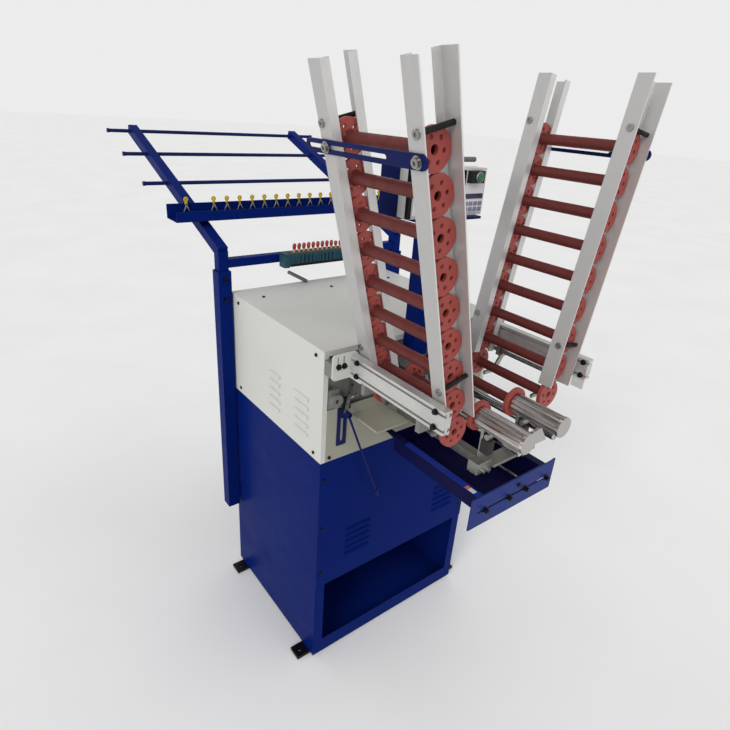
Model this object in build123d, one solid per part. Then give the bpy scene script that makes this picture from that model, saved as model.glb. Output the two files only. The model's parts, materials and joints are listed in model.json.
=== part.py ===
from build123d import *
import math
import os

os.makedirs("parts", exist_ok=True)

# Two-spindle automatic bobbin winding machine.
# Frame: +Z up, origin on the floor under the middle of the cabinet,
# -Y is the side where the operator stands, +X is the operator's right.

# ---------------------------------------------------------------- cabinet
CABINET_W = 600.0
CABINET_D = 508.0
FLOOR_GAP = 10.0
DECK_Z = 734.0
COVER_TOP_Z = 1050.0
SHEET = 2.0
HALF_W = CABINET_W / 2
HALF_D = CABINET_D / 2
FRONT = -HALF_D
OPENING_HALF_W = 268.0
OPENING_LOW_Z = 62.0
PANEL_LOW_Z = 297.0
FRONT_PLATE_TOP_Z = 888.0
DECK_THICK = 8.0
FRAME_PLATE_BACK = FRONT + 22.0
FRAME_PLATE_THICK = 10.0
FRAME_PLATE_FRONT = FRAME_PLATE_BACK - FRAME_PLATE_THICK

# ---------------------------------------------------------------- bobbins
FLANGE_R = 36.3
BARREL_R = 12.5
BORE_R = 8.0
BOBBIN_LEN = 238.0
FLANGE_T = 10.0
PITCH = 73.0
STACK_COUNT = 9
SMALL_HOLES = 6
HOLE_CIRCLE_R = 21.5
HOLE_R = 3.9

# ------------------------------------------------------ winding stations
STATION_X = 63.0
STATION_Z = 953.5
STATION_BOBBIN_FRONT = FRONT - 290.0
STATION_BOBBIN_BACK = STATION_BOBBIN_FRONT + BOBBIN_LEN
SPINDLE_R = 10.0
SPINDLE_BACK = -60.0
CHUCK_T = 15.0
CHUCK_R = 17.0
TAIL_R = 24.0
TAIL_FLUTES = 18
TAIL_FRONT = FRONT - 419.0
TAIL_BACK = STATION_BOBBIN_FRONT - 3.0
RUNNING_FIT = 0.05
CLEAR = 0.4

# -------------------------------------------------------------- magazines
MAG_X = 167.0
MAG_Z = 955.0
LEFT_LEAN = 15.0
RIGHT_LEAN = 9.4
MAG_BOBBIN_FRONT = FRONT - 309.0
MAG_BOBBIN_BACK = MAG_BOBBIN_FRONT + BOBBIN_LEN
GUIDE_SIDE_LEG = 37.0
GUIDE_INNER_LEG = 20.0
GUIDE_T = 3.0
GUIDE_IN = FLANGE_R + 0.6
GUIDE_OUT = GUIDE_IN + GUIDE_T
GUIDE_LOW = 30.0
GUIDE_HIGH = 721.0
BACK_GUIDE_FRONT = FRONT - 86.0
FRONT_GUIDE_BACK = FRONT - 294.0
ROD_R = 5.0
ROD_UPS = (134.0, 617.0)
BACK_ROD_Y = FRONT - 60.0
FRONT_ROD_Y = FRONT - 316.0
TIE_UP = 577.0
TIE_W = 25.0
TIE_T = 4.0
RAIL_T = 20.0
RAIL_LOW_Z = 1001.0
RAIL_HIGH_Z = 1053.0
RAIL_SLOT = 9.0
RAIL_BACK = FRONT - 50.0
RAIL_FRONT = FRONT - 357.0
LEFT_RAIL_OUTER = -260.0
RIGHT_RAIL_OUTER = 249.0

# ---------------------------------------------- guide bars and traverse
BAR_OFFSET = 37.0
BAR_Z = 899.0
BAR_R = 11.0
BAR_FRONT = FRONT - 388.0
PUSH_OFFSET = 64.0
PUSH_ROD_R = 5.0
CARRIAGE_LEN = 36.0
CARRIAGE_Y = FRONT - 84.0
BEAM_LOW_Z = 815.0
BEAM_HIGH_Z = 838.0
BEAM_OFFSET = 25.0
BEAM_W = 24.0
CROSS_PLATE_T = 8.0
CROSS_PLATE_FRONT = FRONT - 336.0
CROSS_PLATE_BACK = FRONT - 297.0
TAIL_STROKE = 31.0

# ------------------------------------------------------------------- tray
TRAY_HALF_W = 104.0
TRAY_FLANGE = 21.0
TRAY_TOP_Z = 801.0
TRAY_DEPTH = 56.0
TRAY_BACK = FRONT - 60.0
TRAY_FRONT = FRONT - 368.0

# ------------------------------------------------------------------ creel
POST_X = 325.0
POST_Y = 252.0
POST_SIZE = 40.0
POST_LOW_Z = 278.0
POST_HIGH_Z = 1118.0
INNER_SIZE = 30.0
TUBE_WALL = 2.0
BEND_Z = 1177.0
ARM_SLOPE = 20.5
ARM_END_Y = 978.0
BAR_HALF_LEN = 408.0
CREEL_BAR_R = 6.0
CREEL_BAR_YS = (613.5, 799.5, 962.0)
CROSSBAR_Z = 1139.0
CROSSBAR_SIZE = 25.0

# ----------------------------------------------------------- control head
COLUMN_X = -30.0
COLUMN_W = 50.0
COLUMN_D = 40.0
COLUMN_LOW_Z = 1000.0
COLUMN_HIGH_Z = 1340.0


def box(x0, x1, y0, y1, z0, z1):
    """Axis-aligned block between two corners."""
    size = Box(abs(x1 - x0), abs(y1 - y0), abs(z1 - z0))
    return Pos((x0 + x1) / 2, (y0 + y1) / 2, (z0 + z1) / 2) * size


def rod_y(x, z, y0, y1, radius):
    """Cylinder along Y."""
    return Pos(x, (y0 + y1) / 2, z) * Rot(90, 0, 0) * Cylinder(radius, abs(y1 - y0))


def rod_x(y, z, x0, x1, radius):
    """Cylinder along X."""
    return Pos((x0 + x1) / 2, y, z) * Rot(0, 90, 0) * Cylinder(radius, abs(x1 - x0))


def rod_z(x, y, z0, z1, radius):
    """Cylinder along Z."""
    return Pos(x, y, (z0 + z1) / 2) * Cylinder(radius, abs(z1 - z0))


def prism_y(points, y0, y1):
    """Extrude a polygon given in X and Z from y0 to y1."""
    outline = Polyline([(x, y1, z) for x, z in points], close=True)
    face = make_face(outline)
    return Solid.extrude(face.face(), Vector(0, y0 - y1, 0))


def between(p, q, radius):
    """Round rod from point p to point q."""
    start = Vector(*p)
    span = Vector(*q) - start
    plane = Plane(origin=start, z_dir=span.normalized())
    return plane * Pos(0, 0, span.length / 2) * Cylinder(radius, span.length)


def group(pieces):
    """Several separate solids kept in one node."""
    solids = []
    for piece in pieces:
        solids.extend(piece.solids())
    return Compound(children=solids)


def save(name, shape):
    """Write one node."""
    export_step(shape, "parts/" + name + ".step")


def socket_head(radius, height):
    """Socket-head screw head standing on the XY plane."""
    head = Pos(0, 0, height / 2) * Cylinder(radius, height)
    key = extrude(RegularPolygon(radius * 0.5, 6), height * 0.6)
    return head - Pos(0, 0, height * 0.5) * key


# ------------------------------------------------------------------ cabinet
def lower_cabinet():
    """Blue welded cabinet with an open service bay at the bottom front."""
    skin_front = FRONT + SHEET
    shell = box(-HALF_W, HALF_W, skin_front, HALF_D, FLOOR_GAP, DECK_Z)
    hollow = box(-HALF_W + SHEET, HALF_W - SHEET, skin_front + SHEET, HALF_D - SHEET,
                 FLOOR_GAP + SHEET, DECK_Z - SHEET)
    mouth = box(-OPENING_HALF_W, OPENING_HALF_W, skin_front - 1, skin_front + SHEET + 1,
                OPENING_LOW_Z, DECK_Z - 34)
    return shell - hollow - mouth


def louvred_panel(x0, x1, z0, z1, groups):
    """Sheet panel facing -Y with groups of pressed louvres."""
    panel = box(x0, x1, FRONT, FRONT + SHEET, z0, z1)
    for centre_x, low_z, rows, width, pitch in groups:
        for row in range(rows):
            z = low_z + row * pitch
            hood = Pos(centre_x, FRONT, z) * Rot(0, 90, 0) * Cylinder(6, width)
            keep = box(centre_x - width, centre_x + width, FRONT - 10, FRONT, z, z + 10)
            slot = box(centre_x - width / 2 + 1.5, centre_x + width / 2 - 1.5,
                       FRONT - 3.5, FRONT + SHEET + 1, z - 1, z + 3.5)
            panel = panel + (hood & keep)
            panel = panel - slot
    return panel


def front_panel():
    """Screwed-on blue panel over the upper part of the cabinet front."""
    groups = [(-158, 376, 5, 84, 23), (194, 376, 5, 84, 23)]
    return louvred_panel(-HALF_W, HALF_W, PANEL_LOW_Z, DECK_Z, groups)


def upper_cover():
    """White sheet cover over the drive, open at the bottom and front."""
    shell = box(-HALF_W, HALF_W, FRONT, HALF_D, DECK_Z, COVER_TOP_Z)
    hollow = box(-HALF_W + SHEET, HALF_W - SHEET, FRONT + SHEET, HALF_D - SHEET,
                 DECK_Z - 1, COVER_TOP_Z - SHEET)
    mouth = box(-HALF_W + 14, HALF_W - 14, FRONT - 1, FRONT + SHEET + 1,
                DECK_Z - 1, COVER_TOP_Z - 14)
    cover = shell - hollow - mouth
    for side in (-1, 1):
        for low_y, width in ((-192, 66), (-47, 58)):
            for row in range(5):
                z = 786 + row * 26
                mid_y = low_y + width / 2
                hood = Pos(side * HALF_W, mid_y, z) * Rot(90, 0, 0) * Cylinder(6, width)
                outside = box(side * HALF_W, side * (HALF_W + 10), low_y - 5,
                              low_y + width + 5, z, z + 10)
                slot = box(side * (HALF_W - SHEET - 1), side * (HALF_W + 3.5),
                           low_y + 1.5, low_y + width - 1.5, z - 1, z + 3.5)
                cover = cover + (hood & outside)
                cover = cover - slot
    return cover


def cover_front_plate():
    """Cream plate that closes the lower part of the cover's front."""
    plate = box(-HALF_W + 14, HALF_W - 14, FRONT, FRONT + SHEET, DECK_Z, FRONT_PLATE_TOP_Z)
    for side in (-1, 1):
        x = side * STATION_X + BEAM_OFFSET
        reach = BEAM_W / 2 + 1
        plate = plate - box(x - reach, x + reach, FRONT - 1, FRONT + SHEET + 1,
                            BEAM_LOW_Z - 1, BEAM_HIGH_Z + 1)
    return plate


def foot_brackets():
    """Four angle feet with an anchor slot in each."""
    feet = []
    for side in (-1, 1):
        for y in (-210, 210):
            inner = side * (HALF_W - 40)
            outer = side * (HALF_W + 42)
            plate = box(inner, outer, y - 22, y + 22, 0, FLOOR_GAP)
            hole = rod_z(side * (HALF_W + 22), y, -1, FLOOR_GAP + 1, 6)
            feet.append(plate - hole)
    return group(feet)


def machine_deck():
    """Steel base plate of the drive."""
    deck = box(-HALF_W + 4, HALF_W - 4, FRONT + 6, HALF_D - 6, DECK_Z, DECK_Z + DECK_THICK)
    return deck


def spindle_frame_plate():
    """Vertical plate that carries rails, bars, spindles and column."""
    plate = box(-286, 286, FRAME_PLATE_FRONT, FRAME_PLATE_BACK,
                DECK_Z + DECK_THICK, COVER_TOP_Z - 16)
    for side in (-1, 1):
        x = side * STATION_X
        plate = plate - rod_y(x, STATION_Z, FRAME_PLATE_FRONT - 1, FRAME_PLATE_BACK + 1, 16)
        plate = plate - rod_y(x + PUSH_OFFSET, BAR_Z, FRAME_PLATE_FRONT - 1,
                              FRAME_PLATE_BACK + 1, PUSH_ROD_R + 0.5)
    return plate


def spacer_blocks():
    """Spacer blocks between the frame plate, the rail brackets and the column."""
    blocks = []
    for x0, x1 in ((-298, -262), (251, 286)):
        low = box(x0, x1, FRAME_PLATE_FRONT, FRONT - 46, 992, 1030)
        trim = box(-HALF_W, -HALF_W + 14, FRONT, FRONT + SHEET + 10, 980, 1050)
        blocks.append(low - trim)
    half = COLUMN_W / 2
    blocks.append(box(COLUMN_X - half, COLUMN_X + half, FRAME_PLATE_FRONT, FRONT, 1002, 1032))
    return group(blocks)


# ------------------------------------------------------------------- drive
def headstock(side):
    """Cast headstock with two bearing walls for one spindle."""
    x = side * STATION_X
    foot_z = DECK_Z + DECK_THICK
    base = box(x - 22, x + 22, FRAME_PLATE_BACK, -100, foot_z, foot_z + 20)
    cast = base
    for y0, y1 in ((FRAME_PLATE_BACK, FRAME_PLATE_BACK + 24), (-124, -100)):
        wall = box(x - 22, x + 22, y0, y1, foot_z, STATION_Z)
        boss = rod_y(x, STATION_Z, y0, y1, 22)
        cast = cast + wall + boss
    bore = rod_y(x, STATION_Z, FRAME_PLATE_BACK - 1, -99, SPINDLE_R + RUNNING_FIT)
    return cast - bore


def spindle(side):
    """Spindle shaft with its belt pulley and the drive chuck at its front end."""
    x = side * STATION_X
    shaft = rod_y(x, STATION_Z, STATION_BOBBIN_BACK + CHUCK_T, SPINDLE_BACK, SPINDLE_R)
    plate_y = STATION_BOBBIN_BACK + 5
    chuck = rod_y(x, STATION_Z, plate_y, STATION_BOBBIN_BACK + CHUCK_T, CHUCK_R)
    face = rod_y(x, STATION_Z, STATION_BOBBIN_BACK, plate_y, CHUCK_R - 3)
    pilot = rod_y(x, STATION_Z, STATION_BOBBIN_BACK - 18, STATION_BOBBIN_BACK, BORE_R - 0.2)
    return shaft + chuck + face + pilot + pulley(x, STATION_Z, SPINDLE_PULLEY_R, SPINDLE_R - 1)


def pulley(x, z, radius, bore):
    """Flanged belt pulley with its belt track between y = -92 and y = -78."""
    body = rod_y(x, z, -92, -78, radius)
    flanges = rod_y(x, z, -95, -92, radius + 5) + rod_y(x, z, -78, -75, radius + 5)
    hub = rod_y(x, z, -75, -66, radius * 0.6)
    return body + flanges + hub - rod_y(x, z, -96, -60, bore)


MOTOR_Z = 830.0
MOTOR_PULLEY_R = 22.0
SPINDLE_PULLEY_R = 28.0


def drive_motor():
    """Drive motor on its foot, axis along Y."""
    body = rod_y(0, MOTOR_Z, -50, 80, 52)
    for step in range(12):
        angle = step * 30
        fin = box(-1.5, 1.5, -30, 60, 50, 57)
        body = body + Pos(0, 0, MOTOR_Z) * Rot(0, angle, 0) * fin
    foot = box(-50, 50, -36, 66, DECK_Z + DECK_THICK, MOTOR_Z - 44)
    cowl = rod_y(0, MOTOR_Z, 80, 110, 50)
    return body + foot + cowl


def motor_rotor():
    """Motor output shaft with its pulley."""
    shaft = rod_y(0, MOTOR_Z, -96, -50.5, 8)
    return shaft + pulley(0, MOTOR_Z, MOTOR_PULLEY_R, 7.9)


def drive_belt():
    """Flat belt round the motor pulley and both spindle pulleys."""
    centres = ((-STATION_X, STATION_Z, SPINDLE_PULLEY_R),
               (STATION_X, STATION_Z, SPINDLE_PULLEY_R),
               (0.0, MOTOR_Z, MOTOR_PULLEY_R))
    loops = []
    for extra in (3.4, 0.4):
        edges = []
        for x, z, radius in centres:
            circle = Pos(x, z, 0) * Circle(radius + extra)
            edges.extend(circle.edges())
        loops.append(extrude(make_hull(edges), 12))
    ring = loops[0] - loops[1]
    return Pos(0, -79, 0) * Rot(90, 0, 0) * ring


# ----------------------------------------------------------------- bobbins
def bobbin():
    """Bobbin along Y with its front face at y = 0 and its back at +BOBBIN_LEN."""
    barrel = rod_y(0, 0, FLANGE_T, BOBBIN_LEN - FLANGE_T, BARREL_R)
    body = barrel
    for y0 in (0.0, BOBBIN_LEN - FLANGE_T):
        body = body + rod_y(0, 0, y0, y0 + FLANGE_T, FLANGE_R)
    body = body - rod_y(0, 0, -1, BOBBIN_LEN + 1, BORE_R)
    for step in range(SMALL_HOLES):
        angle = math.radians(30 + step * 360 / SMALL_HOLES)
        x = HOLE_CIRCLE_R * math.cos(angle)
        z = HOLE_CIRCLE_R * math.sin(angle)
        body = body - rod_y(x, z, -1, FLANGE_T + 1, HOLE_R)
        body = body - rod_y(x, z, BOBBIN_LEN - FLANGE_T - 1, BOBBIN_LEN + 1, HOLE_R)
    return body


def magazine_place(lean):
    """Placement of a magazine's own frame: origin at its lowest bobbin."""
    side = -1 if lean < 0 else 1
    return Pos(side * MAG_X, 0, MAG_Z) * Rot(0, lean, 0)


def stacked_bobbins(lean, first, last):
    """Bobbins number first to last of a magazine, counted from the bottom."""
    place = magazine_place(lean)
    one = bobbin()
    pieces = []
    for index in range(first, last):
        pieces.append(place * Pos(0, MAG_BOBBIN_FRONT, index * PITCH) * one)
    return group(pieces)


def wound_bobbin(side):
    """Bobbin held on a winding station."""
    return Pos(side * STATION_X, STATION_BOBBIN_FRONT, STATION_Z) * bobbin()


# --------------------------------------------------------------- magazines
def guide_angle(across, front):
    """One upright angle of a magazine; across is -1 or +1 in the magazine's frame."""
    low, high = GUIDE_LOW, GUIDE_HIGH
    x_in, x_out = across * GUIDE_IN, across * GUIDE_OUT
    x_tip = across * (GUIDE_OUT - GUIDE_INNER_LEG)
    if front:
        side_leg = box(x_in, x_out, FRONT_GUIDE_BACK - GUIDE_SIDE_LEG, FRONT_GUIDE_BACK, low, high)
        inner_leg = box(x_tip, x_out, FRONT_GUIDE_BACK - GUIDE_T, FRONT_GUIDE_BACK, low, high)
    else:
        side_leg = box(x_in, x_out, BACK_GUIDE_FRONT, BACK_GUIDE_FRONT + GUIDE_SIDE_LEG, low, high)
        inner_leg = box(x_tip, x_out, BACK_GUIDE_FRONT, BACK_GUIDE_FRONT + GUIDE_T, low, high)
    return side_leg + inner_leg


def magazine_guides(lean):
    """The four upright angles of one magazine."""
    place = magazine_place(lean)
    pieces = []
    for across in (-1, 1):
        for front in (False, True):
            pieces.append(place * guide_angle(across, front))
    return group(pieces)


def retaining_rods(lean):
    """Rubber-covered rods that tie the angles of one magazine together."""
    place = magazine_place(lean)
    pieces = []
    for up in ROD_UPS:
        for y in (BACK_ROD_Y, FRONT_ROD_Y):
            pieces.append(place * rod_x(y, up, -GUIDE_IN, GUIDE_IN, ROD_R))
    return group(pieces)


def tie_bar(lean):
    """Blue slotted bar with rounded ends on the outer side of one magazine."""
    outer = -1 if lean < 0 else 1
    x0, x1 = outer * GUIDE_OUT, outer * (GUIDE_OUT + TIE_T)
    half = TIE_W / 2
    front_y, back_y = FRONT - 337 + half, FRONT + 2 - half
    bar = box(x0, x1, front_y, back_y, TIE_UP - half, TIE_UP + half)
    slot = box(x0 - outer, x1 + outer, FRONT - 236, back_y, TIE_UP - 4.5, TIE_UP + 4.5)
    for y in (front_y, back_y):
        bar = bar + rod_x(y, TIE_UP, min(x0, x1), max(x0, x1), half)
    for y in (FRONT - 236, back_y):
        slot = slot + rod_x(y, TIE_UP, x0 - outer, x1 + outer, 4.5)
    return magazine_place(lean) * (bar - slot)


def magazine_screws(lean):
    """Screw heads on the outer faces of one magazine."""
    outer = -1 if lean < 0 else 1
    place = magazine_place(lean)
    pieces = []
    for across in (-1, 1):
        for up in ROD_UPS:
            for y in (BACK_ROD_Y, FRONT_ROD_Y):
                turn = Rot(0, 90 * across, 0)
                pieces.append(place * Pos(across * GUIDE_OUT, y, up) * turn * socket_head(7.5, 4))
    for y in (BACK_ROD_Y - 6, FRONT_ROD_Y):
        turn = Rot(0, 90 * outer, 0)
        spot = Pos(outer * (GUIDE_OUT + TIE_T), y, TIE_UP)
        pieces.append(place * spot * turn * Pos(0, 0, 1) * Cylinder(11, 2))
        pieces.append(place * spot * turn * Pos(0, 0, 2) * socket_head(8, 5))
    return group(pieces)


def rail(outer_x):
    """Slotted aluminium extrusion that carries one magazine."""
    side = -1 if outer_x < 0 else 1
    inner_x = outer_x - side * RAIL_T
    beam = box(outer_x, inner_x, RAIL_FRONT, RAIL_BACK, RAIL_LOW_Z, RAIL_HIGH_Z)
    for z in (RAIL_LOW_Z + RAIL_SLOT, RAIL_HIGH_Z - RAIL_SLOT):
        for x, inward in ((outer_x, -side), (inner_x, side)):
            mouth = box(x, x + inward * 3, RAIL_FRONT - 1, RAIL_BACK + 1, z - 2.5, z + 2.5)
            pocket = box(x + inward * 3, x + inward * 6.5, RAIL_FRONT - 1, RAIL_BACK + 1,
                         z - 5, z + 5)
            beam = beam - mouth - pocket
    return beam


def rail_bracket(outer_x):
    """Angle bracket that holds the back end of one rail from below."""
    side = -1 if outer_x < 0 else 1
    wall_y = FRONT - 46
    shelf = box(outer_x, outer_x - side * RAIL_T, wall_y - 46, wall_y - 4, RAIL_LOW_Z - 4, RAIL_LOW_Z)
    reach = 50 if side < 0 else 38
    plate = box(outer_x - side * RAIL_T, outer_x + side * reach, wall_y - 4, wall_y,
                RAIL_LOW_Z - 4, RAIL_HIGH_Z + 8)
    plate = fillet(plate.edges().filter_by(Axis.Y), 8)
    for x in (outer_x + side * 18, outer_x + side * 34):
        slot = box(x - 2.6, x + 2.6, wall_y - 5, wall_y + 1, RAIL_LOW_Z + 20, RAIL_LOW_Z + 54)
        plate = plate - slot
    body = plate + shelf
    if side > 0:
        inner_x = outer_x - RAIL_T
        body = body + box(inner_x, inner_x + 4, RAIL_FRONT, RAIL_FRONT + 32, RAIL_LOW_Z - 26, RAIL_LOW_Z)
    return body


def rail_wedges():
    """Wedge blocks between the vertical rails and the leaning angles."""
    pieces = []
    for lean, inner_x in ((-LEFT_LEAN, LEFT_RAIL_OUTER + RAIL_T),
                          (RIGHT_LEAN, RIGHT_RAIL_OUTER - RAIL_T)):
        side = -1 if lean < 0 else 1
        slope = math.tan(math.radians(abs(lean)))
        offset = GUIDE_OUT / math.cos(math.radians(lean))
        points = []
        for z in (RAIL_LOW_Z + 3, RAIL_HIGH_Z - 3):
            points.append((side * (MAG_X + (z - MAG_Z) * slope + offset), z))
        outline = [(inner_x, points[0][1]), points[0], points[1], (inner_x, points[1][1])]
        for y0 in (FRONT_GUIDE_BACK - 33, BACK_GUIDE_FRONT + 4):
            pieces.append(prism_y(outline, y0, y0 + 29))
    return group(pieces)


def rail_bolts():
    """Hexagon bolts on both faces of the rails and in the slots of their brackets."""
    pieces = []
    for outer_x in (LEFT_RAIL_OUTER, RIGHT_RAIL_OUTER):
        side = -1 if outer_x < 0 else 1
        inner_x = outer_x - side * RAIL_T
        bolt = Cylinder(7, 1.5) + extrude(RegularPolygon(5.5, 6), 5.5)
        bolt = Pos(0, 0, 0.75) * bolt
        for z in (RAIL_LOW_Z + RAIL_SLOT, RAIL_HIGH_Z - RAIL_SLOT):
            for y in (FRONT - 76, FRONT - 332):
                pieces.append(Pos(outer_x, y, z) * Rot(0, 90 * side, 0) * bolt)
            pieces.append(Pos(inner_x, FRONT - 344, z) * Rot(0, -90 * side, 0) * bolt)
        for x in (outer_x + side * 18, outer_x + side * 34):
            spot = Pos(x, FRONT - 50, RAIL_LOW_Z + 30) * Rot(90, 0, 0)
            pieces.append(spot * bolt)
    return group(pieces)


# ------------------------------------------------------------ release gear
def release_pivot(side):
    """X of a release shaft; the two magazines lean by different angles."""
    return -225.0 if side < 0 else 221.0


RELEASE_Z = 985.0
HOOK_YS = (FRONT - 118.0, FRONT - 274.0)


LEVER_X = -242.0
LEVER_Z = 879.0


def release_shaft(side):
    """Shaft with two hooks that hold the lowest bobbin by its barrel."""
    x = release_pivot(side)
    pivot = abs(x)
    body = rod_y(x, RELEASE_Z, FRONT - 296, FRONT - 8, 6)
    under = MAG_Z - BARREL_R - CLEAR
    toe = MAG_X - 16
    heel = MAG_X + 22
    outline = [(pivot + 7, RELEASE_Z + 2), (pivot - 5, RELEASE_Z + 6), (heel - 6, under),
               (toe, under), (toe, under - 9), (heel + 8, under - 9)]
    for y in HOOK_YS:
        arm = prism_y([(side * u, z) for u, z in outline], y, y + 6)
        hub = rod_y(x, RELEASE_Z, y - 2, y + 8, 11)
        body = body + arm + hub
    if side < 0:
        crank = prism_y([(x - 5, RELEASE_Z), (x + 5, RELEASE_Z), (LEVER_X + 4, LEVER_Z),
                         (LEVER_X - 4, LEVER_Z)], FRONT - 22, FRONT - 16)
        pin = rod_y(LEVER_X, LEVER_Z, FRONT - 30, FRONT - 16, 4.5)
        body = body + crank + pin
    return body


def release_bearings():
    """Bearing blocks under the rails for both release shafts."""
    pieces = []
    for side, rail_x in ((-1, LEFT_RAIL_OUTER), (1, RIGHT_RAIL_OUTER)):
        x = release_pivot(side)
        for y in (FRONT - 108, FRONT - 294):
            block = box(rail_x, x - side * 10, y, y + 12, RELEASE_Z - 12, RAIL_LOW_Z)
            pieces.append(block - rod_y(x, RELEASE_Z, y - 1, y + 13, 6 + RUNNING_FIT))
    return group(pieces)


def release_lever():
    """Long hand rod clamped on the crank pin of the left release shaft."""
    y0, y1 = FRONT - 36, FRONT - 24
    mid_y = (y0 + y1) / 2
    pivot = rod_y(LEVER_X, LEVER_Z, y0, y1, 8)
    tip_x, tip_z = -121.0, 578.0
    share = 0.92
    mid = (LEVER_X + share * (tip_x - LEVER_X), mid_y, LEVER_Z + share * (tip_z - LEVER_Z))
    rod = between((LEVER_X, mid_y, LEVER_Z), mid, 3)
    grip = between(mid, (tip_x, mid_y, tip_z), 5)
    return pivot + rod + grip - rod_y(LEVER_X, LEVER_Z, y0 - 1, y1 + 1, 4.5)


def slotted_bracket():
    """Dark slotted adjusting strap on the front plate, with its casting above."""
    strap = box(-254, -226, FRONT - 4, FRONT, 776, 886)
    slot = box(-245, -235, FRONT - 5, FRONT + 1, 786, 856)
    return strap - slot


def pivot_casting():
    """Light casting with a cross hole beside the left release lever."""
    wall = box(-284, -254, FRAME_PLATE_FRONT, FRONT - 4, 893, 944)
    nose = rod_y(-266, 915, FRAME_PLATE_FRONT, FRONT - 14, 18)
    return wall + nose - rod_y(-266, 915, FRONT - 15, FRONT - 4, 5.5)


def deck_brackets():
    """Flat shelves that stand out of the front plate under the magazines."""
    pieces = []
    for side in (-1, 1):
        shelf = box(side * 206, side * 104, FRONT - 102, FRONT, 850, 856)
        shelf = shelf - rod_z(side * 118, FRONT - 45, 849, 857, 3)
        pieces.append(shelf)
    return group(pieces)


# ------------------------------------------------- tails, bars and traverse
def guide_bars():
    """Two polished bars on which the traverse carriages run."""
    return group([rod_y(side * STATION_X + BAR_OFFSET, BAR_Z, BAR_FRONT, FRAME_PLATE_FRONT, BAR_R)
                  for side in (-1, 1)])


def tail_beams():
    """Two beams beside the winding stations, tied by a cross plate with clamp blocks."""
    end_x = STATION_X + BAR_OFFSET + 14
    body = box(23 - STATION_X, end_x, CROSS_PLATE_FRONT, CROSS_PLATE_BACK,
               BEAM_HIGH_Z - CROSS_PLATE_T, BEAM_HIGH_Z)
    for side in (-1, 1):
        x = side * STATION_X
        beam_x = x + BEAM_OFFSET
        beam = box(beam_x - BEAM_W / 2, beam_x + BEAM_W / 2, CROSS_PLATE_FRONT + 16,
                   FRAME_PLATE_FRONT, BEAM_LOW_Z, BEAM_HIGH_Z)
        clamp = box(x - 21, x + 26, CROSS_PLATE_FRONT + 12, CROSS_PLATE_FRONT + 42,
                    BEAM_LOW_Z + 2, BEAM_HIGH_Z + 8)
        body = body + beam + clamp
        for spot_x, spot_z in ((x - 4, BEAM_LOW_Z + 12), (x + 14, BEAM_LOW_Z + 8)):
            body = body + rod_y(spot_x, spot_z, CROSS_PLATE_FRONT + 4, CROSS_PLATE_FRONT + 12, 5.5)
    return body


def tail_pedestals():
    """Upright plates that hold the tail cylinders and the guide bars."""
    y0, y1 = CROSS_PLATE_FRONT + 31, CROSS_PLATE_FRONT + 39
    boss_y = CROSS_PLATE_FRONT + 20
    pieces = []
    for side in (-1, 1):
        x = side * STATION_X
        bar_x = x + BAR_OFFSET
        upright = box(x + 4, bar_x + 15, y0, y1, BEAM_HIGH_Z + 8, BAR_Z + 13)
        saddle = box(x + 4, x + 24, y0, y1, BAR_Z, STATION_Z - 12)
        boss = rod_x(boss_y, STATION_Z - 45, x + 2, x + 34, 7)
        arm = box(x + 20, x + 30, boss_y, y1, STATION_Z - 52, STATION_Z - 40)
        holder = upright + saddle + boss + arm
        holder = holder - rod_y(x, STATION_Z, y0 - 30, y1 + 1, TAIL_R)
        pieces.append(holder - rod_y(bar_x, BAR_Z, boss_y - 12, y1 + 1, BAR_R))
    return group(pieces)


def tail_clamps():
    """Dark clamp pieces in front of the upright plates."""
    y0, y1 = CROSS_PLATE_FRONT + 8, CROSS_PLATE_FRONT + 30.9
    pieces = []
    for side in (-1, 1):
        x = side * STATION_X
        piece = box(x - 2, x + 20, y0, y1, STATION_Z - 88, STATION_Z - 52.2)
        pieces.append(fillet(piece.edges().filter_by(Axis.Y), 4))
    return group(pieces)


TAIL_DISC_R = 15.0
TAIL_DISC_T = 5.0
TAIL_ROD_R = 6.0


def tail_cylinder(side):
    """Fluted aluminium tail cylinder with its end plate; the left one has a side arm."""
    body = rod_y(0, 0, TAIL_FRONT, TAIL_BACK, TAIL_R)
    for step in range(TAIL_FLUTES):
        angle = step * 360 / TAIL_FLUTES
        flute = rod_y(TAIL_R + 0.8, 0, TAIL_FRONT - 1, TAIL_BACK + 1, 2.3)
        body = body - Rot(0, angle, 0) * flute
    body = body + rod_y(0, 0, TAIL_FRONT - 7, TAIL_FRONT, TAIL_R + 1)
    if side < 0:
        arm = prism_y([(4, 24.5), (34, 30), (62, -8), (24, -8)], TAIL_FRONT - 7, TAIL_FRONT)
        body = body + arm
    room = TAIL_BACK - TAIL_STROKE - TAIL_DISC_T - 1
    body = body - rod_y(0, 0, room, TAIL_BACK + 1, TAIL_DISC_R + CLEAR)
    body = body - rod_y(0, 0, room - 62, room + 1, TAIL_ROD_R + RUNNING_FIT)
    return Pos(side * STATION_X, 0, STATION_Z) * body


def tail_centre(side):
    """Sliding pressure disc with the nose that enters the bobbin."""
    x = side * STATION_X
    face = STATION_BOBBIN_FRONT - CLEAR
    disc = rod_y(x, STATION_Z, face - TAIL_DISC_T, face, TAIL_DISC_R)
    nose = rod_y(x, STATION_Z, face, STATION_BOBBIN_FRONT + 12, BORE_R - 0.5)
    rod = rod_y(x, STATION_Z, face - TAIL_DISC_T - 58, face - TAIL_DISC_T, TAIL_ROD_R)
    return disc + nose + rod


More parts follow.
